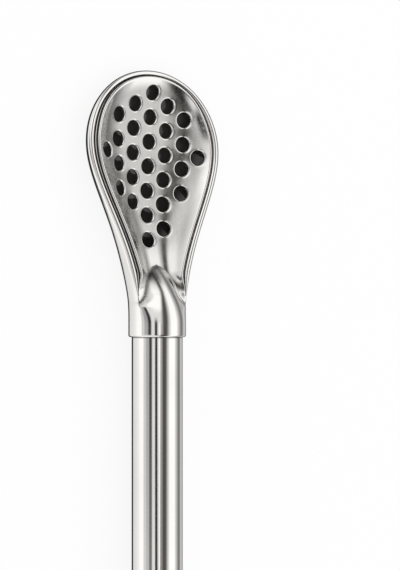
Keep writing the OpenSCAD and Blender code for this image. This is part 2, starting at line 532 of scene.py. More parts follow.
def halve(low, high, count, holds):
    """Finds by halving where a test that holds at the low end stops holding."""
    for _ in range(count):
        middle = (low + high) / 2
        if holds(middle):
            low = middle
        else:
            high = middle
    return low


def sink_at_set(a):
    """Share of the round tube's radius that is left at angle a where the tongue has its full section."""
    x, z = half_width(TONGUE_SET) * math.cos(a), SLEEVE_R * math.sin(a)
    crest = crest_half((TONGUE_SET, half_width(TONGUE_SET), 1.0, 0.0))
    return halve(SINK_LEAST, 1.0, SINK_HALVINGS, lambda s: pressed_z(x * s, TONGUE_SET, crest) > z * s)


sinks = [sink_at_set(a) for a in stations(WALL_TOP, math.pi / 2, SINK_STEPS)]


def neck_point(a, y):
    """Point of the sleeve's upper half at angle a: the round tube, sunk towards the tongue's section."""
    place = (a - WALL_TOP) / (math.pi / 2 - WALL_TOP) * SINK_STEPS
    i = min(int(place), SINK_STEPS - 1)
    left = mix(sinks[i], sinks[i + 1], place - i)
    middle = clamp01((y - TONGUE_FROM) / (TONGUE_SET - TONGUE_FROM)) ** 2
    flank = ease((y - FLANK_FROM) / (TONGUE_SET - FLANK_FROM))
    share = mix(flank, middle, ease((a - WALL_TOP) / FLANK_WIDE))
    scale = 1 - (1 - left) * share * ease((a - WALL_TOP) / SINK_START)
    return half_width(y) * math.cos(a) * scale, SLEEVE_R * math.sin(a) * scale


def neck_height(u, y):
    """Height of the sleeve's upper half over a place u to the side."""
    over = halve(WALL_TOP, math.pi / 2, HEIGHT_HALVINGS, lambda a: neck_point(a, y)[0] > u)
    return neck_point(over, y)[1]


print("top of the neck at", round(neck_point(math.pi / 2, SLEEVE_LEN)[1], 3), "mm")

# %% [markdown]
# The sleeve's rings use the bowl's first section up to the rim and go on over the top, so the two meet point
# on point and the merged mesh shades as one surface. The bore is round, and under the sinking neck it gives
# way, so that a wall is left.

# %% Rings of the sleeve
ARC_STEPS = 56
NECK_CROWD = 1.4
KEPT_WALL = 0.8


def sleeve_ring(y, shrink=0.0):
    """One ring of the sleeve from the bottom up the right side and back down the left."""
    w, low = half_width(y) - shrink, back_depth(y) - shrink
    right = [(w * math.cos(a), y, -low * math.sin(a)) for a in BACK_ANGLES]
    for step in range(1, WALL_STEPS + 1):
        a = math.asin(math.sin(WALL_TOP) * step / WALL_STEPS)
        right.append((w * math.cos(a), y, (SLEEVE_R - shrink) * math.sin(a)))
    for a in stations(WALL_TOP, math.pi / 2, ARC_STEPS, NECK_CROWD)[1:]:
        x, z = neck_point(a, y)
        right.append((x * (1 - shrink / SLEEVE_R), y, z * (1 - shrink / SLEEVE_R)))
    left = [(-x, at, z) for x, at, z in reversed(right[1:-1])]
    return right + left


RING_COUNT = len(sleeve_ring(0))


def bore_ring(y, r):
    """One ring of the bore, which is round but keeps a wall under the part of the sleeve that sinks."""
    points = []
    for i in range(RING_COUNT):
        a = 2 * math.pi * i / RING_COUNT - math.pi / 2
        over = max(math.asin(math.sin(a)), WALL_TOP)
        room = math.hypot(*neck_point(over, y)) - KEPT_WALL * SHEET
        points.append((min(r, room) * math.cos(a), y, min(r, room) * math.sin(a)))
    return points


print("a ring of the sleeve has", RING_COUNT, "points")

# %% [markdown]
# The rings run from the neck to the mouth, round its edge and back along the bore to the stop for the straw.
# The last one is bridged to what is open round the neck, which closes the shell.

# %% Skin the sleeve
SLEEVE_ROWS = 44
MOUTH_ROUND = 0.3
MOUTH_STEPS = 5
BORE_LEAD = 0.08
BORE_ROWS = 8
sleeve_stations = stations(SLEEVE_LEN, MOUTH_ROUND, SLEEVE_ROWS, NECK_CROWD)[:-1]
sleeve_rows = [sleeve_ring(y) for y in sleeve_stations]
for a in turns(math.pi / 2, MOUTH_STEPS):
    sleeve_rows.append(sleeve_ring(MOUTH_ROUND * (1 - math.sin(a)), MOUTH_ROUND * (1 - math.cos(a))))
sleeve_rows += [bore_ring(0, SOCKET_R + BORE_LEAD), bore_ring(BORE_LEAD, SOCKET_R)]
sleeve_rows += [bore_ring(y, SOCKET_R) for y in stations(TONGUE_FROM, GRIP_LEN, BORE_ROWS)]
sleeve_rows += [bore_ring(GRIP_LEN, STOP_R), bore_ring(SLEEVE_LEN, STOP_R)]
add_rows(shell_mesh, sleeve_rows, close_rows=True)
head_shell = to_piece(shell_mesh, "head_shell")
close_up(head_shell, bpy.ops.mesh.bridge_edge_loops)

# %% [markdown]
# ## The strainer plate
#
# The plate is pressed from thin sheet. Cutting holes in a smooth dish with a boolean leaves long thin faces
# that show as dents in a reflection. So the sheet is drawn flat first, filled with even triangles, and then
# lifted to its height.

# %% Height of the plate
TINY = 0.001


def ray_through(x, y):
    """The ray that passes through a place of the plan, and how far out on it the place lies."""
    if y < HEAD_WIDE_AT:
        return (y, half_width(y), 1.0, 0.0), abs(x)
    u = max(math.hypot(x, y - HEAD_WIDE_AT), TINY)
    return (HEAD_WIDE_AT, HEAD_HALF_W, x / u, (y - HEAD_WIDE_AT) / u), u


def plate_height(x, y):
    """Height of the plate's upper face over any place of its plan."""
    ray, u = ray_through(x, y)
    return neck_height(u, y) if y < TONGUE_SET else pressed_z(u, y, crest_half(ray))


print("plate at the middle hole", round(plate_height(0, HOLES_AT), 3), "mm")

# %% [markdown]
# The holes stand in columns that are half a step out from each other, like the holes of a colander. The whole
# pattern is turned a little, as a press tool set by hand would leave it, and draws in towards the neck. A
# column is its place in pitches from the middle, the place of its first hole and how many holes it has.

# %% Places of the holes
COLUMN_PITCH = 2.98
HOLE_PITCH = 3.91
COLUMNS = (
    (-2.9, 0.5, 1), (-2, -1, 4), (-1, -1.5, 5), (0, -3, 7), (1, -2.5, 6), (2, -1, 4), (2.78, 0.5, 1),
)
HOLES_TURN = math.radians(4)
HOLES_SHIFT = 0.1
HOLES_TAPER = 0.05
TAPER_FROM = 4.0
TAPER_LEN = 8.0
SLOPE_STEP = 0.2


def hole_places():
    places = []
    for column, first, count in COLUMNS:
        for row in range(count):
            x, y = column * COLUMN_PITCH, (first + row) * HOLE_PITCH
            x *= 1 - HOLES_TAPER * clamp01((TAPER_FROM - y) / TAPER_LEN)
            places.append((
                HOLES_SHIFT + x * math.cos(HOLES_TURN) + y * math.sin(HOLES_TURN),
                HOLES_AT - x * math.sin(HOLES_TURN) + y * math.cos(HOLES_TURN),
            ))
    return places


def slope_at(x, y):
    """Steepest way up the plate, as a direction in plan and the cosine of its angle."""
    rise_x = (plate_height(x + SLOPE_STEP, y) - plate_height(x - SLOPE_STEP, y)) / (2 * SLOPE_STEP)
    rise_y = (plate_height(x, y + SLOPE_STEP) - plate_height(x, y - SLOPE_STEP)) / (2 * SLOPE_STEP)
    rise = max(math.hypot(rise_x, rise_y), TINY)
    return rise_x / rise, rise_y / rise, 1 / math.hypot(1, rise)


# A hole is its place, the way up the slope there and the cosine that makes it round on the slope.
holes = [(*place, *slope_at(*place)) for place in hole_places()]
print(len(holes), "holes")

# %% [markdown]
# The plan is a flat drawing. Its fixed lines are the outline of the sheet, a ring round each hole and the
# edge of the tongue. A punch goes square through the slope, so a ring is narrowed in plan the way the slope
# runs, and a hair more across the head.

# %% Fixed lines of the plan
HOLE_R = 1.18
HOLE_OVAL = 0.93
HOLE_LIP = 0.34
HOLE_SIDES = 40


def crest_lean(ray):
    """Slope of the dish where it meets the crest, as an angle."""
    crest = crest_half(ray)
    y = along(ray, crest)
    return math.atan(dish_power(y) * (crest_z(y) - floor_z(y)) / crest)


def sheet_edge(ray):
    """Where the dish ends and the rounded crest begins."""
    return crest_half(ray) - crest_radius(along(ray, ray[1])) * math.sin(crest_lean(ray))


def ring(hole, r):
    """A circle round a hole, narrowed in plan along the slope so that it is round on the plate."""
    x, y, up_x, up_y, narrow = hole
    points = []
    for i in range(HOLE_SIDES):
        a = 2 * math.pi * i / HOLE_SIDES
        up, level = r * narrow * math.cos(a), r * math.sin(a)
        points.append((x + HOLE_OVAL * (up * up_x - level * up_y), y + up * up_y + level * up_x))
    return points


def from_hole(hole, x, y):
    """Distance from a hole's middle, measured on the slope."""
    dx, dy = (x - hole[0]) / HOLE_OVAL, y - hole[1]
    return math.hypot((dx * hole[2] + dy * hole[3]) / hole[4], dy * hole[2] - dx * hole[3])


print("the sheet is", round(2 * sheet_edge(head_rays[FLANK_STEPS]), 2), "mm wide, a hole", 2 * HOLE_R, "mm")

# %% [markdown]
# The points between the lines are scattered in staggered rows, closer together at the neck, where the form
# is smallest. They keep off the lines, so that no triangle there is thin.

# %% Scatter between the lines
OUTLINE_ROOM = 0.6
HOLE_ROOM = 0.5
TONGUE_ROOM = 0.3


def inside_sheet(x, y, margin):
    if y < SLEEVE_LEN + margin:
        return False
    ray, u = ray_through(x, y)
    return u < sheet_edge(ray) - margin


def clear_of_holes(x, y, margin):
    return all(from_hole(hole, x, y) > HOLE_R + HOLE_LIP + margin for hole in holes)


def has_room(x, y, step):
    if TONGUE_SET < y < TONGUE_END and abs(abs(x) - tongue_half(y)) <= TONGUE_ROOM * step:
        return False
    return inside_sheet(x, y, OUTLINE_ROOM * step) and clear_of_holes(x, y, HOLE_ROOM * step)


def scatter_points(start, end, step):
    """An even scatter in staggered rows from one place along the straw to another."""
    points = []
    row_step = step * math.sqrt(3) / 2
    reach = int(HEAD_HALF_W / step)
    for row in range(int((end - start) / row_step)):
        y = start + row * row_step
        places = [(column + 0.5 * (row % 2)) * step for column in range(-reach, reach + 1)]
        points += [(x, y) for x in places if has_room(x, y, step)]
    return points


SCATTER = 0.36
NECK_SCATTER = 0.17
PAST_TONGUE = 0.6
neck_end = TONGUE_END + PAST_TONGUE
scatter = scatter_points(SLEEVE_LEN, neck_end, NECK_SCATTER) + scatter_points(neck_end, TIP_AT, SCATTER)
print(len(scatter), "points between the lines")

# %% [markdown]
# A Delaunay fill joins all the points with triangles that are as even as they can be and keeps the fixed
# lines. The triangles inside the holes are then thrown away.

# %% Fill the plan
NECK_COUNT = 40
TONGUE_STEPS = 30
TOUCH = 0.01
INSIDE_LINES = 1
SAME_POINT = 1e-6
plan, fixed_edges = [], []


def add_line(points, closed):
    """Adds points to the plan, with the edges between them as a line that the fill keeps."""
    first, count = len(plan), len(points)
    plan.extend(Vector(p) for p in points)
    fixed_edges.extend((first + i, first + (i + 1) % count) for i in range(count if closed else count - 1))


edge_plan = [on_ray(ray, sheet_edge(ray), 0)[:2] for ray in head_rays]
neck_left, neck_right = edge_plan[-1][0], edge_plan[0][0]
neck_plan = [(x, SLEEVE_LEN) for x in stations(neck_left, neck_right, NECK_COUNT)[1:-1]]
tongue_plan = [(tongue_half(y), y) for y in stations(TONGUE_SET, TONGUE_END, TONGUE_STEPS)[:-1]]
tongue_plan.append((0, TONGUE_END))
tongue_plan += [(-x, y) for x, y in reversed(tongue_plan[:-1])]

add_line(edge_plan + neck_plan, closed=True)
for hole in holes:
    add_line(ring(hole, HOLE_R + HOLE_LIP), closed=True)
add_line(tongue_plan, closed=False)
plan += [Vector(p) for p in scatter]
flat_points, _, triangles, _, _, _ = delaunay_2d_cdt(plan, fixed_edges, [], INSIDE_LINES, SAME_POINT)


def in_hole(face):
    centre = sum((flat_points[i] for i in face), Vector((0, 0))) / len(face)
    return not clear_of_holes(centre.x, centre.y, -TOUCH)


triangles = [face for face in triangles if not in_hole(face)]
print("sheet:", len(flat_points), "points,", len(triangles), "triangles")

# %% [markdown]
# The plan is lifted twice, to the upper face and to the under face, one sheet lower. Each hole gets a
# rounded lip and a wall between the two.

# %% Lift the sheet
HOLE_LIP_DEEP = 0.34
HOLE_LIP_STEPS = 5
plate_mesh = bmesh.new()


def add_sheet(drop):
    heights = [plate_height(p.x, p.y) - drop for p in flat_points]
    verts = [plate_mesh.verts.new(in_frame(p.x, p.y, z)) for p, z in zip(flat_points, heights)]
    for face in triangles:
        plate_mesh.faces.new([verts[i] for i in face])


def add_hole_wall(hole):
    """The rounded lip of one hole and its wall, from the upper face to the under face."""
    rows = []
    for a in turns(math.pi / 2, HOLE_LIP_STEPS):
        rows.append((HOLE_R + HOLE_LIP * (1 - math.sin(a)), HOLE_LIP_DEEP * (1 - math.cos(a))))
    rows += [(HOLE_R, SHEET), (HOLE_R + HOLE_LIP, SHEET)]
    rings = []
    for r, drop in rows:
        rings.append([(x, y, plate_height(x, y) - drop) for x, y in ring(hole, r)])
    add_rows(plate_mesh, rings, close_rows=True)


add_sheet(0)
add_sheet(SHEET)
for hole in holes:
    add_hole_wall(hole)
print("both faces and the holes:", len(plate_mesh.verts), "points")

# %% [markdown]
# Along the rim the sheet goes over its crest and down a folded leg to a flange, which lies under the rolled
# edge. What is left open, at the neck, is filled.

# %% Crest and flange
CREST_STEPS = 8
FOLD_SHARE = 0.4
FOLD_DEPTH = 0.45
FOLD_CURVE = ((0, 0), (0.55, 0.2), (0.9, 0.55), (1, 1))
FLANGE_BACK = 0.65


def crest_section(ray):
    """Rounded crest, leg and flange along one ray, from the upper face to the under face."""
    y_rim = along(ray, ray[1])
    r = crest_radius(y_rim)
    fold = FOLD_SHARE * (groove_width(y_rim) - r)
    u = sheet_edge(ray)
    lean = crest_lean(ray)
    z = plate_height(*on_ray(ray, u, 0)[:2])
    points = []
    for a in stations(-lean, math.pi / 2, CREST_STEPS):
        out, up = math.sin(a) + math.sin(lean), math.cos(a) - math.cos(lean)
        points.append(on_ray(ray, u + r * out, z + r * up))
    leg = u + r * (1 + math.sin(lean))
    flange_z = lip_z(y_rim) - PLATE_FIT
    fold_z = mix(points[-1][2], flange_z, FOLD_DEPTH)
    wall_u = ray[1] - SHEET - PLATE_FIT
    for out, down in FOLD_CURVE:
        points.append(on_ray(ray, leg + out * fold, fold_z - down * fold))
    under_z = flange_z - SHEET
    points += [on_ray(ray, leg + fold, flange_z), on_ray(ray, wall_u, flange_z)]
    points += [on_ray(ray, wall_u - FLANGE_BACK, under_z), on_ray(ray, leg - SHEET, under_z)]
    points.append(on_ray(ray, u, z - SHEET))
    return points


add_rows(plate_mesh, [crest_section(ray) for ray in head_rays])
strainer_dish = to_piece(plate_mesh, "strainer_dish")
close_up(strainer_dish, bpy.ops.mesh.fill)

# %% [markdown]
# ## The straw
#
# Straw and mouthpiece are both round. A profile with a Screw modifier could make them, but a circle that is
# extruded along the straw can be placed and scaled ring by ring.

# %% Tube helpers
ROUND_SIDES = 160


def start_tube(name, r, y):
    """A circle round the straw's axis at a place in the frame, in edit mode and ready to extrude."""
    bpy.ops.mesh.primitive_circle_add(
        vertices=ROUND_SIDES, radius=r * MM, location=(0, y, AXIS_Z * MM), rotation=(math.pi / 2, 0, 0)
    )
    bpy.ops.object.transform_apply(location=True, rotation=True, scale=True)
    tube = bpy.context.object
    tube.name = name
    bpy.ops.object.mode_set(mode="EDIT")
    bpy.ops.mesh.select_all(action="SELECT")
    return tube


def extrude(length):
    """Extrudes the last ring along the straw by a length in metres."""
    bpy.ops.mesh.extrude_region_move(TRANSFORM_OT_translate={"value": (0, length, 0)})


# %% [markdown]
# The straw is a length of drawn tube. Solidify gives the extruded sheet its wall and Bevel breaks the cut
# edges at both ends, as a deburring tool does. The end that stands in the sleeve is drawn in a little,
# because the neck is pressed over it. Four rings stand close together at the sleeve's mouth, where a fine
# dark line is put later.

# %% Make the straw
LEAD_LEN = 3.8
LEAD_IN = 0.85
LEAD_STEPS = 8
EDGE_LOOP = 0.5
MOUTH_LINE = (-0.24, -0.06, 0.06, 0.24)
DEBURR = 0.12
DEBURR_STEPS = 3
straw_low, straw_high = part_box("straw_tube")
straw = start_tube("straw", TUBE_R, straw_low.y)
plain_end = straw_high.y - LEAD_LEN * MM
ring_places = [straw_low.y + EDGE_LOOP * MM]
ring_places += [(SLEEVE_MOUTH_Y + place) * MM for place in MOUTH_LINE]
ring_places += [plain_end - EDGE_LOOP * MM, plain_end]
for place_from, place_to in zip([straw_low.y] + ring_places, ring_places):
    extrude(place_to - place_from)
lead_radii = [TUBE_R - LEAD_IN * (i / LEAD_STEPS) ** 2 for i in range(LEAD_STEPS + 1)]
for r_from, r_to in zip(lead_radii, lead_radii[1:]):
    extrude(LEAD_LEN * MM / LEAD_STEPS)
    bpy.ops.transform.resize(value=(r_to / r_from, 1, r_to / r_from))
leave_edit_mode()
wall = straw.modifiers.new("wall", "SOLIDIFY")
wall.thickness = TUBE_WALL * MM
wall.offset = -1
deburr = straw.modifiers.new("deburr", "BEVEL")
deburr.width = DEBURR * MM
deburr.segments = DEBURR_STEPS
deburr.limit_method = "ANGLE"
choose(straw)
for modifier in ("wall", "deburr"):
    bpy.ops.object.modifier_apply(modifier=modifier)
finish_mesh(straw)

# %% [markdown]
# ## The mouthpiece
#
# The mouthpiece is a short turned collar, soldered over the other end of the straw. A lathe makes it, and so
# does a ring of points that is extruded along the straw and scaled at each step of the profile, out along
# the outside and back along the bore. The last ring is bridged to the first.

# %% Make the mouthpiece
MOUTH_LEN = 26.0
MOUTH_GRIP = 18.0
LIP_R = 0.4
LIP_BORE_R = 3.3
LIP_STEPS = 12
TAPER_STEPS = 12
COLLAR_R = TUBE_R + 0.52
GRIP_R = TUBE_R + 0.02
BEAD_R = 0.3
COLLAR_BEAD_STEPS = 10
mouth_low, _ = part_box("mouthpiece")


def mouth_profile():
    """Distance from the lips and radius of each step of the profile."""
    seat = MOUTH_LEN - MOUTH_GRIP
    taper_end = seat + MOUTH_GRIP / 2
    bead_at = MOUTH_LEN - BEAD_R
    steps = []
    for a in turns(math.pi, LIP_STEPS):
        steps.append((LIP_R - LIP_R * math.sin(a), LIP_BORE_R + LIP_R - LIP_R * math.cos(a)))
    for t in stations(0, 1, TAPER_STEPS)[1:]:
        swell = ease(0.5 + t / 2) * 2 - 1
        steps.append((mix(LIP_R, taper_end, t), mix(LIP_BORE_R + 2 * LIP_R, COLLAR_R, swell)))
    for a in turns(math.pi, COLLAR_BEAD_STEPS):
        steps.append((bead_at - BEAD_R * math.cos(a), COLLAR_R + BEAD_R * math.sin(a)))
    return steps + [(MOUTH_LEN, GRIP_R), (seat, GRIP_R), (seat, LIP_BORE_R)]


profile = mouth_profile()
mouthpiece = start_tube("mouthpiece_tip", profile[0][1], mouth_low.y + profile[0][0] * MM)
for (y_from, r_from), (y_to, r_to) in zip(profile, profile[1:]):
    extrude((y_to - y_from) * MM)
    centre = (0, mouth_low.y + y_to * MM, AXIS_Z * MM)
    bpy.ops.transform.resize(value=(r_to / r_from, 1, r_to / r_from), center_override=centre)
bpy.ops.object.mode_set(mode="OBJECT")
close_up(mouthpiece, bpy.ops.mesh.bridge_edge_loops)

# %% [markdown]
# ## What each piece rides on
#
# The straw and its mouthpiece stay together. The shell and the plate make the head, which slides off the
# straw. Each piece stands for the CAD node that has its place.

# %% Join the pieces to the frame
ROLES = (
    (head_shell, "head", "back_shell", "shell_steel"),
    (strainer_dish, "head", "strainer_plate", "plate_steel"),
    (straw, "straw", "straw_tube", "tube_steel"),
    (mouthpiece, "straw", "mouthpiece", "mouth_steel"),
)
for piece, body, node, finish in ROLES:
    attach(piece, body)
    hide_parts(node)
    print(piece.name, "rides on", body)

# %% [markdown]
# ## Steel
#
# A material is a tree of nodes. These helpers add a node and fill its inputs in one line: an input takes a
# plain value, or the output of another node that feeds it.

# %% Node helpers
def new_material(name):
    material = bpy.data.materials.new(name)
    material.use_nodes = True
    return material, material.node_tree


def feed(tree, node, inputs):
    for name, value in inputs.items():
        if isinstance(value, bpy.types.NodeSocket):
            tree.links.new(value, node.inputs[name])
        else:
            node.inputs[name].default_value = value


def new_node(tree, kind, inputs):
    node = tree.nodes.new("ShaderNode" + kind)
    feed(tree, node, inputs)
    return node


def maths(tree, operation, first, second):
    node = tree.nodes.new("ShaderNodeMath")
    node.operation = operation
    feed(tree, node, {0: first, 1: second})
    return node.outputs["Value"]


def colour_mix(tree, share, first, second):
    node = tree.nodes.new("ShaderNodeMix")
    node.data_type = "RGBA"
    feed(tree, node, {"Factor": share, "A": first, "B": second})
    return node.outputs["Result"]


def spread(tree, value, source, target):
    """Maps the part of a noise between the two source values to the target values."""
    ends = {"From Min": source[0], "From Max": source[1], "To Min": target[0], "To Max": target[1]}
    return new_node(tree, "MapRange", {"Value": value, **ends}).outputs["Result"]


def value_on_mesh(tree, name):
    node = tree.nodes.new("ShaderNodeAttribute")
    node.attribute_name = name
    return node.outputs["Fac"]


def mixed_paint(tree, share, first, second):
    """Ends a material in two shaders, mixed by a share."""
    blend = new_node(tree, "MixShader", {"Fac": share, 1: first, 2: second})
    new_node(tree, "OutputMaterial", {"Surface": blend.outputs["Shader"]})


# %% [markdown]
# The steel is bright and slightly warm. What changes from piece to piece is how it was worked: the straw was
# drawn, so its fine lines run along it; the mouthpiece was turned, so they run round it; the bowl was
# polished on a wheel and the plate was only brushed, which leaves it satin. The lines are noise that is
# stretched along the way the tool went. The same noise moves the roughness and lifts the surface a little.
# Three values on the mesh, which the next cells set, say where it is satin and where shade is painted: in
# creases and inside.

# %% Steel
BRIGHT = (0.74, 0.73, 0.71, 1)
SATIN = (0.46, 0.455, 0.44, 1)
# Colour of the painted shade in creases and of the painted shadow at the sleeve's mouth.
CREASE_SHADE = (0.07, 0.065, 0.06, 1)
# Colour of the painted shade inside the head, in the groove and in the sleeve's bore.
INSIDE_SHADE = (0.05, 0.046, 0.042, 1)
SATIN_ROUGHNESS = 0.24
LINE_DETAIL = 4.0
LINE_PART = (0.3, 0.7)
LINE_SHEEN = (0.8, 1.2)
LINE_LIFT = 0.0004
LINE_STRENGTH = 0.35
CLOUD_SCALE = 90.0
CLOUD_DETAIL = 2.0
CLOUD_PART = (0.35, 0.65)
CLOUD_TONE = (0.95, 1.0)


def steel(name, roughness, stretch):
    """A steel with fine tool lines. roughness is that of the bright steel, and stretch says how often the
    lines repeat along X, Y and Z, per metre."""
    material, tree = new_material(name)
    place = new_node(tree, "TexCoord", {}).outputs["Object"]
    tool_way = new_node(tree, "Mapping", {"Vector": place, "Scale": stretch}).outputs["Vector"]
    noise = new_node(tree, "TexNoise", {"Vector": tool_way, "Scale": 1.0, "Detail": LINE_DETAIL})
    lines = noise.outputs["Fac"]
    satin = value_on_mesh(tree, "satin")
    inside = value_on_mesh(tree, "inside")

    plain = new_node(tree, "Mix", {"Factor": satin, "A": roughness, "B": SATIN_ROUGHNESS})
    sheen = spread(tree, lines, LINE_PART, LINE_SHEEN)

    cloud = new_node(tree, "TexNoise", {"Vector": place, "Scale": CLOUD_SCALE, "Detail": CLOUD_DETAIL})
    tone = spread(tree, cloud.outputs["Fac"], CLOUD_PART, CLOUD_TONE)
    tint = tree.nodes.new("ShaderNodeVectorMath")
    tint.operation = "SCALE"
    feed(tree, tint, {0: colour_mix(tree, satin, BRIGHT, SATIN), "Scale": tone})
    # Painted shade: the crease value darkens the base colour in creases and at the sleeve's mouth.
    crease_shaded = colour_mix(tree, value_on_mesh(tree, "crease"), tint.outputs["Vector"], CREASE_SHADE)

    bump = new_node(tree, "Bump", {"Height": lines, "Strength": LINE_STRENGTH, "Distance": LINE_LIFT * MM})
    # Painted shade: where the inside value is set, the steel turns dark and stops being metal.
    feed(tree, tree.nodes["Principled BSDF"], {
        "Base Color": colour_mix(tree, inside, crease_shaded, INSIDE_SHADE),
        "Metallic": maths(tree, "SUBTRACT", 1.0, inside),
        "Roughness": maths(tree, "MULTIPLY", plain.outputs["Result"], sheen),
        "Normal": bump.outputs["Normal"],
    })
    return material


# %% [markdown]
# Each piece gets its steel: a name, the roughness and how often the lines repeat along X, Y and Z. The lines
# run the way in which they repeat least.

# %% Finishes of the pieces
FINISHES = (
    (head_shell, steel("polished_shell", 0.10, (700, 300, 700))),
    (strainer_dish, steel("satin_plate", 0.12, (2600, 900, 2600))),
    (straw, steel("drawn_straw", 0.09, (2200, 30, 2200))),
    (mouthpiece, steel("turned_mouthpiece", 0.09, (60, 3000, 60))),
)
for piece, material in FINISHES:
    piece.data.materials.clear()
    piece.data.materials.append(material)
    print(piece.name, "wears", material.name)

# %% [markdown]
# The floor of the dish stays satin, and the wheel brightens it only towards the rim and the neck. A value on
# each point says how satin it is.

# %% Mark the satin floor
SATIN_FROM = 12.0
SATIN_FULL = 17.0
NECK_SATIN = 0.35
NECK_FADE = 3.5
RIM_FADE_FROM = 0.82
RIM_FADE = 0.16
LIP_TOUCH = 0.02
MARKED = 0.3


def mark(piece, name, domain, values):
    """Stores a value on each point or face of a piece, under the name that the steel reads."""
    piece.data.attributes.new(name, "FLOAT", domain).data.foreach_set("value", values)
    print(piece.name, name, "at", sum(1 for value in values if value > MARKED), "of", len(values))


def mark_points(piece, name, value_at):
    mark(piece, name, "POINT", [value_at(vertex.co) for vertex in piece.data.vertices])


def satin_at(place):
    x, y, _ = in_mm(place)
    ray, u = ray_through(x, y)
    neck = NECK_SATIN * ease((y - SLEEVE_LEN) / NECK_FADE)
    along_plate = mix(neck, 1, ease((y - SATIN_FROM) / (SATIN_FULL - SATIN_FROM)))
    off_lip = 1.0 if clear_of_holes(x, y, -LIP_TOUCH) else 0.0
    return off_lip * along_plate * (1 - ease((u / crest_half(ray) - RIM_FADE_FROM) / RIM_FADE))


mark_points(strainer_dish, "satin", satin_at)

# %% [markdown]
# A dark line of painted shade lies in the crease round the tongue. It is strongest on the left and at the
# tongue's end, and runs out on the sleeve beside the rim. A thin line of painted shadow lies on the straw
# where the sleeve's mouth ends. A second value on each point says how strong the painted shade is there.

# %% Mark the painted crease shade
CREASE_WIDE = 0.3
CREASE_DEEP = 0.85
CREASE_RIGHT = 0.25
SIDE_FROM = -0.5
SIDE_WIDE = 2.0
CREASE_IN = 0.3
CREASE_STEPS = 60
CREASE_OUT = (4.15, 5.4)
RUN_OUT_STEPS = 12
CREASE_LOW = -2.0
CREASE_REACH = 1.0
crease_stations = stations(SLEEVE_LEN, TONGUE_END - CREASE_IN, CREASE_STEPS)
crease_half = [(tongue_half(y + CREASE_IN), y) for y in crease_stations]
run_out = [stations(a, b, RUN_OUT_STEPS)[1:] for a, b in zip(crease_half[0], CREASE_OUT)]
crease_half += zip(*run_out)


def crease_at(place):
    x, y, z = in_mm(place)
    if y > TONGUE_END + CREASE_REACH or y < CREASE_OUT[1] - CREASE_REACH or z < CREASE_LOW:
        return 0.0
    gap = min(math.hypot(abs(x) - line_x, y - line_y) for line_x, line_y in crease_half)
    side = mix(1.0, CREASE_RIGHT, ease((x - SIDE_FROM) / SIDE_WIDE))
    return CREASE_DEEP * side * math.exp(-(gap / CREASE_WIDE) ** 2)


def mouth_shadow_at(place):
    _, y, _ = in_mm(place)
    return CREASE_DEEP if abs(y) < MOUTH_LINE[-1] / 2 else 0.0


# Painted shade along the tongue's crease on plate and shell, and painted shadow on the straw at the sleeve's
# mouth.
mark_points(strainer_dish, "crease", crease_at)
mark_points(head_shell, "crease", crease_at)
mark_points(straw, "crease", mouth_shadow_at)

# %% [markdown]
# Shade is painted on the faces that look into the hollow head, down into the groove beside the rim or into
# the sleeve's bore. An attribute marks them, and the steel reads that attribute to turn dark and dull there.

# %% Mark the painted shade inside
GROOVE_DARK = 0.2
EDGE_ROOM = 0.05
UNDER_SHARE = 0.9
FACING_DOWN = 0.1
FACING_UP = 0.5
MOUTH_CLEAR = 0.2
SPINE_MIDDLE = 1.5
BEAD_SHARE = 0.2


def mark_inside(piece, test):
    mark(piece, "inside", "FACE", [float(test(face.center, face.normal)) for face in piece.data.polygons])


def under_plate(place, normal):
    x, y, z = in_mm(place)
    depth = plate_height(x, y) - z
    if inside_sheet(x, y, EDGE_ROOM):
        return depth > UNDER_SHARE * SHEET and normal.z < FACING_DOWN
    return depth > GROOVE_DARK and (normal.z < FACING_UP or z < lip_z(y) + EDGE_ROOM)


def in_bowl(place, normal):
    x, y, z = in_mm(place)
    if y <= SLEEVE_LEN + TOUCH:
        in_bore = math.hypot(x, z) < SOCKET_R + TOUCH and y > MOUTH_CLEAR
        return in_bore and normal.x * x + normal.z * z < 0
    toward_spine = Vector((-x, min(HEAD_WIDE_AT - y, 0), SPINE_MIDDLE - z))
    return normal.dot(toward_spine) > 0 and z < rim_mid(y) + BEAD_SHARE * rim_radius(y)


# Painted shade on the faces that look into the head, the groove and the sleeve's bore.
mark_inside(strainer_dish, under_plate)
mark_inside(head_shell, in_bowl)

# %% [markdown]
# ## Floor and light
#
# Steel shows what stands round it, so a product photographer puts it in a white tent and hangs dark flags
# where the metal should have a line. The floor is white paper. It glows where it is seen straight or in a
# reflection, so that it stays white, and takes soft shadows. Floor, hung cards and lamp are sized in metres.

# %% Floor
FLOOR_SIZE = 8
FLOOR_PAPER = (0.9, 0.9, 0.9, 1)
FLOOR_GLOW = 0.88
bpy.ops.mesh.primitive_plane_add(size=FLOOR_SIZE, location=(0, 0, 0))
floor = bpy.context.object
floor.name = "floor"
floor_paint, tree = new_material("floor_paint")
tree.nodes.clear()
paper = new_node(tree, "BsdfDiffuse", {"Color": FLOOR_PAPER})
glow = new_node(tree, "Emission", {"Color": (1, 1, 1, 1)})
path = new_node(tree, "LightPath", {}).outputs
mirrored = maths(tree, "MAXIMUM", path["Is Glossy Ray"], path["Is Transmission Ray"])
seen = maths(tree, "MAXIMUM", path["Is Camera Ray"], mirrored)
mixed_paint(tree, maths(tree, "MULTIPLY", seen, FLOOR_GLOW), paper.outputs["BSDF"], glow.outputs["Emission"])
floor.data.materials.append(floor_paint)
print("floor", [round(v, 2) for v in floor.dimensions])

# %% [markdown]
# The world is the tent: an even white from all sides. The Standard view keeps its white as white, where a
# film-like view would grey it.

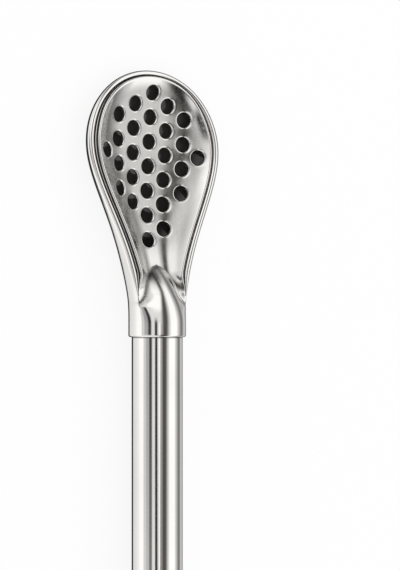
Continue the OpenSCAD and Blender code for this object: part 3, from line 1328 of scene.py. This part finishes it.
# %% World
scene = bpy.context.scene
scene.view_settings.view_transform = "Standard"
world = bpy.data.worlds.new("tent")
world.use_nodes = True
scene.world = world
tent = world.node_tree.nodes["Background"]
tent.inputs["Color"].default_value = (1.0, 1.0, 1.0, 1)
tent.inputs["Strength"].default_value = 1.0
print("tent strength", tent.inputs["Strength"].default_value)

# %% [markdown]
# Cards and flags are planes that only reflections see. Their paint glows in its own colour and is full in
# the middle and clear at the edges, so the lines that they draw in the steel are soft.

# %% Paint of the cards
BLACK = (0.02, 0.02, 0.02, 1)
GREY = (0.2, 0.2, 0.2, 1)
BROWN = (0.11, 0.10, 0.085, 1)
WHITE = (1.0, 1.0, 1.0, 1)


def fade(tree, coordinate, soft, depth):
    """A value that rises from 0 at one edge to depth in the middle and falls to 0 at the other edge."""
    node = new_node(tree, "ValToRGB", {"Fac": coordinate})
    ramp = node.color_ramp
    ramp.interpolation = "EASE"
    for end in ramp.elements:
        end.color = (0, 0, 0, 1)
    for at in (soft, 1 - soft):
        ramp.elements.new(at).color = (depth, depth, depth, 1)
    return node.outputs["Color"]


def card_paint(name, colour, strength, depth, soft):
    material, tree = new_material(name)
    tree.nodes.clear()
    clear = new_node(tree, "BsdfTransparent", {})
    face = new_node(tree, "Emission", {"Color": colour, "Strength": strength})
    place = new_node(tree, "TexCoord", {})
    split = new_node(tree, "SeparateXYZ", {"Vector": place.outputs["UV"]}).outputs
    across, lengthwise = fade(tree, split["X"], soft[0], depth), fade(tree, split["Y"], soft[1], 1.0)
    share = maths(tree, "MULTIPLY", across, lengthwise)
    mixed_paint(tree, share, clear.outputs["BSDF"], face.outputs["Emission"])
    return material


def only_in_reflections(card):
    card.visible_camera = False
    card.visible_diffuse = False
    card.visible_shadow = False


# %% [markdown]
# Most cards hang on a ball round the head. A card's angle is its height over the right-hand horizon and its
# lean is its turn towards the tip, both in degrees. Other cards lie just over the floor.

# %% Places for the cards
CARD_FROM = 0.8
LAID_ALONG = (-900, 900)
MIDDLE_AT = 24
HEAD_MIDDLE = in_frame(0, MIDDLE_AT, 0)


def add_card(name, place, size, colour, depth, soft, strength=1.0):
    """A card that only reflections see. place turns and moves a unit square of the given size."""
    bpy.ops.mesh.primitive_plane_add(size=1)
    card = bpy.context.object
    card.name = name
    card.data.transform(place @ Matrix.Diagonal((*size, 1, 1)))
    card.data.materials.append(card_paint(name + "_paint", colour, strength, depth, soft))
    only_in_reflections(card)
    print(name, [round(v, 3) for v in size])


def hung(angle, lean, distance):
    """A place above the head that looks back at it, with X across the straw and Y along it."""
    a, b = math.radians(angle), math.radians(lean)
    outward = Vector((math.cos(a) * math.cos(b), math.sin(b), math.sin(a) * math.cos(b)))
    across = Vector((math.sin(a), 0, -math.cos(a)))
    turn = Matrix((across, outward.cross(across), outward)).transposed().to_4x4()
    return Matrix.Translation(HEAD_MIDDLE + outward * distance) @ turn


def hang_card(name, angle, lean, spread_by, colour, depth, soft, strength=1.0, turn=0):
    """A card above the head, with its spread across and along the straw and its own turn in degrees."""
    size = [2 * CARD_FROM * math.tan(math.radians(part / 2)) for part in spread_by]
    place = hung(angle, lean, CARD_FROM) @ Matrix.Rotation(math.radians(turn), 4, "Z")
    add_card(name, place, size, colour, depth, soft, strength)


def lay_card(name, x_range, height, colour, depth, soft, strength=1.0):
    """A card over the floor, from one side to the other and at a height, in millimetres."""
    size = ((x_range[1] - x_range[0]) * MM, (LAID_ALONG[1] - LAID_ALONG[0]) * MM)
    middle = in_frame(sum(x_range) / 2, sum(LAID_ALONG) / 2, height - AXIS_Z)
    add_card(name, Matrix.Translation(middle), size, colour, depth, soft, strength)


# %% [markdown]
# Where a line should lie on the round straw says at what angle its card has to hang, because a round mirror
# shows each angle at one place. The cards over the floor start beside the object and reach far out.

# %% Hang the cards
LONG = 160
OVER_STRAW = -5
FAR = 1200
# Name, angle, lean, spread across and along, colour, depth, softness across and along, strength.
hang_card("zenith_flag", 89, 0, (44, LONG), BROWN, 1.0, (0.42, 0.1))
hang_card("camera_flag", 126, OVER_STRAW, (15, 42), BLACK, 1.0, (0.3, 0.4))
hang_card("left_flag", 151.5, 3, (20, 50), BLACK, 1.0, (0.34, 0.45))
hang_card("left_low_flag", 165, 6, (34, 50), GREY, 0.7, (0.4, 0.45))
hang_card("right_low_flag", 0, 0, (70, LONG), GREY, 0.95, (0.42, 0.1))
hang_card("foot_flag", 98, -23, (28, 62), BLACK, 0.9, (0.4, 0.25), turn=45)
hang_card("tip_flag", 95, 76, (70, 30), BLACK, 0.9, (0.4, 0.4))
hang_card("middle_card", 112, OVER_STRAW, (11, 22), WHITE, 1.0, (0.3, 0.4), 1.3)
hang_card("tongue_card", 122, 42, (46, 48), WHITE, 1.0, (0.35, 0.35), 1.4)
# Name, the two sides, height, and then as above.
lay_card("left_card", (-FAR, -6), 0.15, WHITE, 1.0, (0.01, 0.05), 1.35)
lay_card("left_far_flag", (-FAR, -40), 0.22, GREY, 0.5, (0.06, 0.05))
lay_card("right_far_flag", (30, FAR), 0.22, GREY, 0.6, (0.03, 0.05))

# %% [markdown]
# A dark sheet of painted shadow lies under the object and reaches out a little from under it, where the
# floor's shadow would be. The steel that turns down to the floor reflects it, and that draws a thin dark
# line along both sides of the outline. The sheet follows the outline ray by ray and fades towards its edge.
# Its sizes are shares of the half width, at the straw and at the head.

# %% Painted shadow sheet under the object
SHADOW_SHEET_FROM = -150.0
SHADOW_SHEET_LIFT = 0.3
DARK_LEFT = (0.8, 1.0)
DARK_RIGHT = (1.5, 1.6)
CLEAR_LEFT = (1.15, 1.7)
CLEAR_RIGHT = (10.0, 3.4)
FULL_SHADOW_SHEET = 0.5
THIN_SHADOW_SHEET = 0.3
SHADOW_SHEET_SOFT = (0.4, 0.4)
shadow_sheet_mesh = bmesh.new()
shadow_sheet_fade = shadow_sheet_mesh.loops.layers.uv.new("UVMap")
shadow_sheet_rows, shadow_sheet_depths = [], []
for ray in rays(SHADOW_SHEET_FROM):
    right, head = (1 + ray[2]) / 2, ease((ray[1] - SLEEVE_R) / (HEAD_HALF_W - SLEEVE_R))
    dark = mix(mix(*DARK_LEFT, head), mix(*DARK_RIGHT, head), right)
    clear = mix(mix(*CLEAR_LEFT, head), mix(*CLEAR_RIGHT, head), right)
    shadow_sheet_rows.append([on_ray(ray, share * ray[1], SHADOW_SHEET_LIFT - AXIS_Z) for share in (0, dark, clear)])
    shadow_sheet_depths.append(mix(FULL_SHADOW_SHEET, THIN_SHADOW_SHEET, ease(right) * (1 - head)))
shadow_sheet_verts = add_rows(shadow_sheet_mesh, shadow_sheet_rows)
fade_at = {vert: depth for row, depth in zip(shadow_sheet_verts, shadow_sheet_depths) for vert in row[:-1]}
for face in shadow_sheet_mesh.faces:
    for loop in face.loops:
        loop[shadow_sheet_fade].uv = (fade_at.get(loop.vert, 0.0), 0.5)
shadow_sheet = to_object(shadow_sheet_mesh, "shadow_sheet")
# The sheet's dark paint is painted shadow that only reflections see.
shadow_sheet.data.materials.append(card_paint("shadow_sheet_paint", BLACK, 1.0, 1.0, SHADOW_SHEET_SOFT))
only_in_reflections(shadow_sheet)
print("shadow_sheet", [round(v, 3) for v in shadow_sheet.dimensions])

# %% [markdown]
# One long softbox hangs on the right, parallel to the straw. It gives the steel its bright side and the
# floor a soft shadow. A lamp's energy is set from the brightness of its face, so that its size can change.

# %% Softbox
SOFTBOX_RADIANCE = 0.38
SOFTBOX_WIDE = 0.55
SOFTBOX_LONG = 4.0
SOFTBOX_ANGLE = 50
SOFTBOX_FROM = 1.0
bpy.ops.object.light_add(type="AREA")
softbox = bpy.context.object
softbox.name = "softbox"
softbox.data.shape = "RECTANGLE"
softbox.data.size = SOFTBOX_WIDE
softbox.data.size_y = SOFTBOX_LONG
softbox.data.energy = SOFTBOX_RADIANCE * math.pi * softbox.data.size * softbox.data.size_y
softbox.matrix_world = hung(SOFTBOX_ANGLE, 0, SOFTBOX_FROM)
print("softbox", round(softbox.data.energy, 2), "W")

# %% [markdown]
# ## Camera
#
# The picture looks down on the lying straw from its left side, 58 degrees above the table, with a long lens
# from far away, so that nothing looks bent. The straw points up the picture and runs out of its lower edge.

# %% Camera
VIEW_LEAN = math.radians(32)
PIXEL = 0.1584
IMAGE_HIGH = 570
LENS = 400.0
SENSOR = 36.0
AIM_ALONG = 8.24
AIM_RIGHT = 6.78
right = Vector((math.cos(VIEW_LEAN), 0, math.sin(VIEW_LEAN)))
back = Vector((-math.sin(VIEW_LEAN), 0, math.cos(VIEW_LEAN)))
target = in_frame(0, AIM_ALONG, 0) + right * AIM_RIGHT * MM
distance = LENS / SENSOR * IMAGE_HIGH * PIXEL * MM
camera_data = bpy.data.cameras.new("camera")
camera_data.lens = LENS
camera_data.sensor_width = SENSOR
camera = bpy.data.objects.new("camera", camera_data)
scene.collection.objects.link(camera)
turned = Matrix((right, (0, 1, 0), back)).transposed().to_4x4()
camera.matrix_world = Matrix.Translation(target + back * distance) @ turned
scene.camera = camera
print("camera", round(distance, 3), "m away")
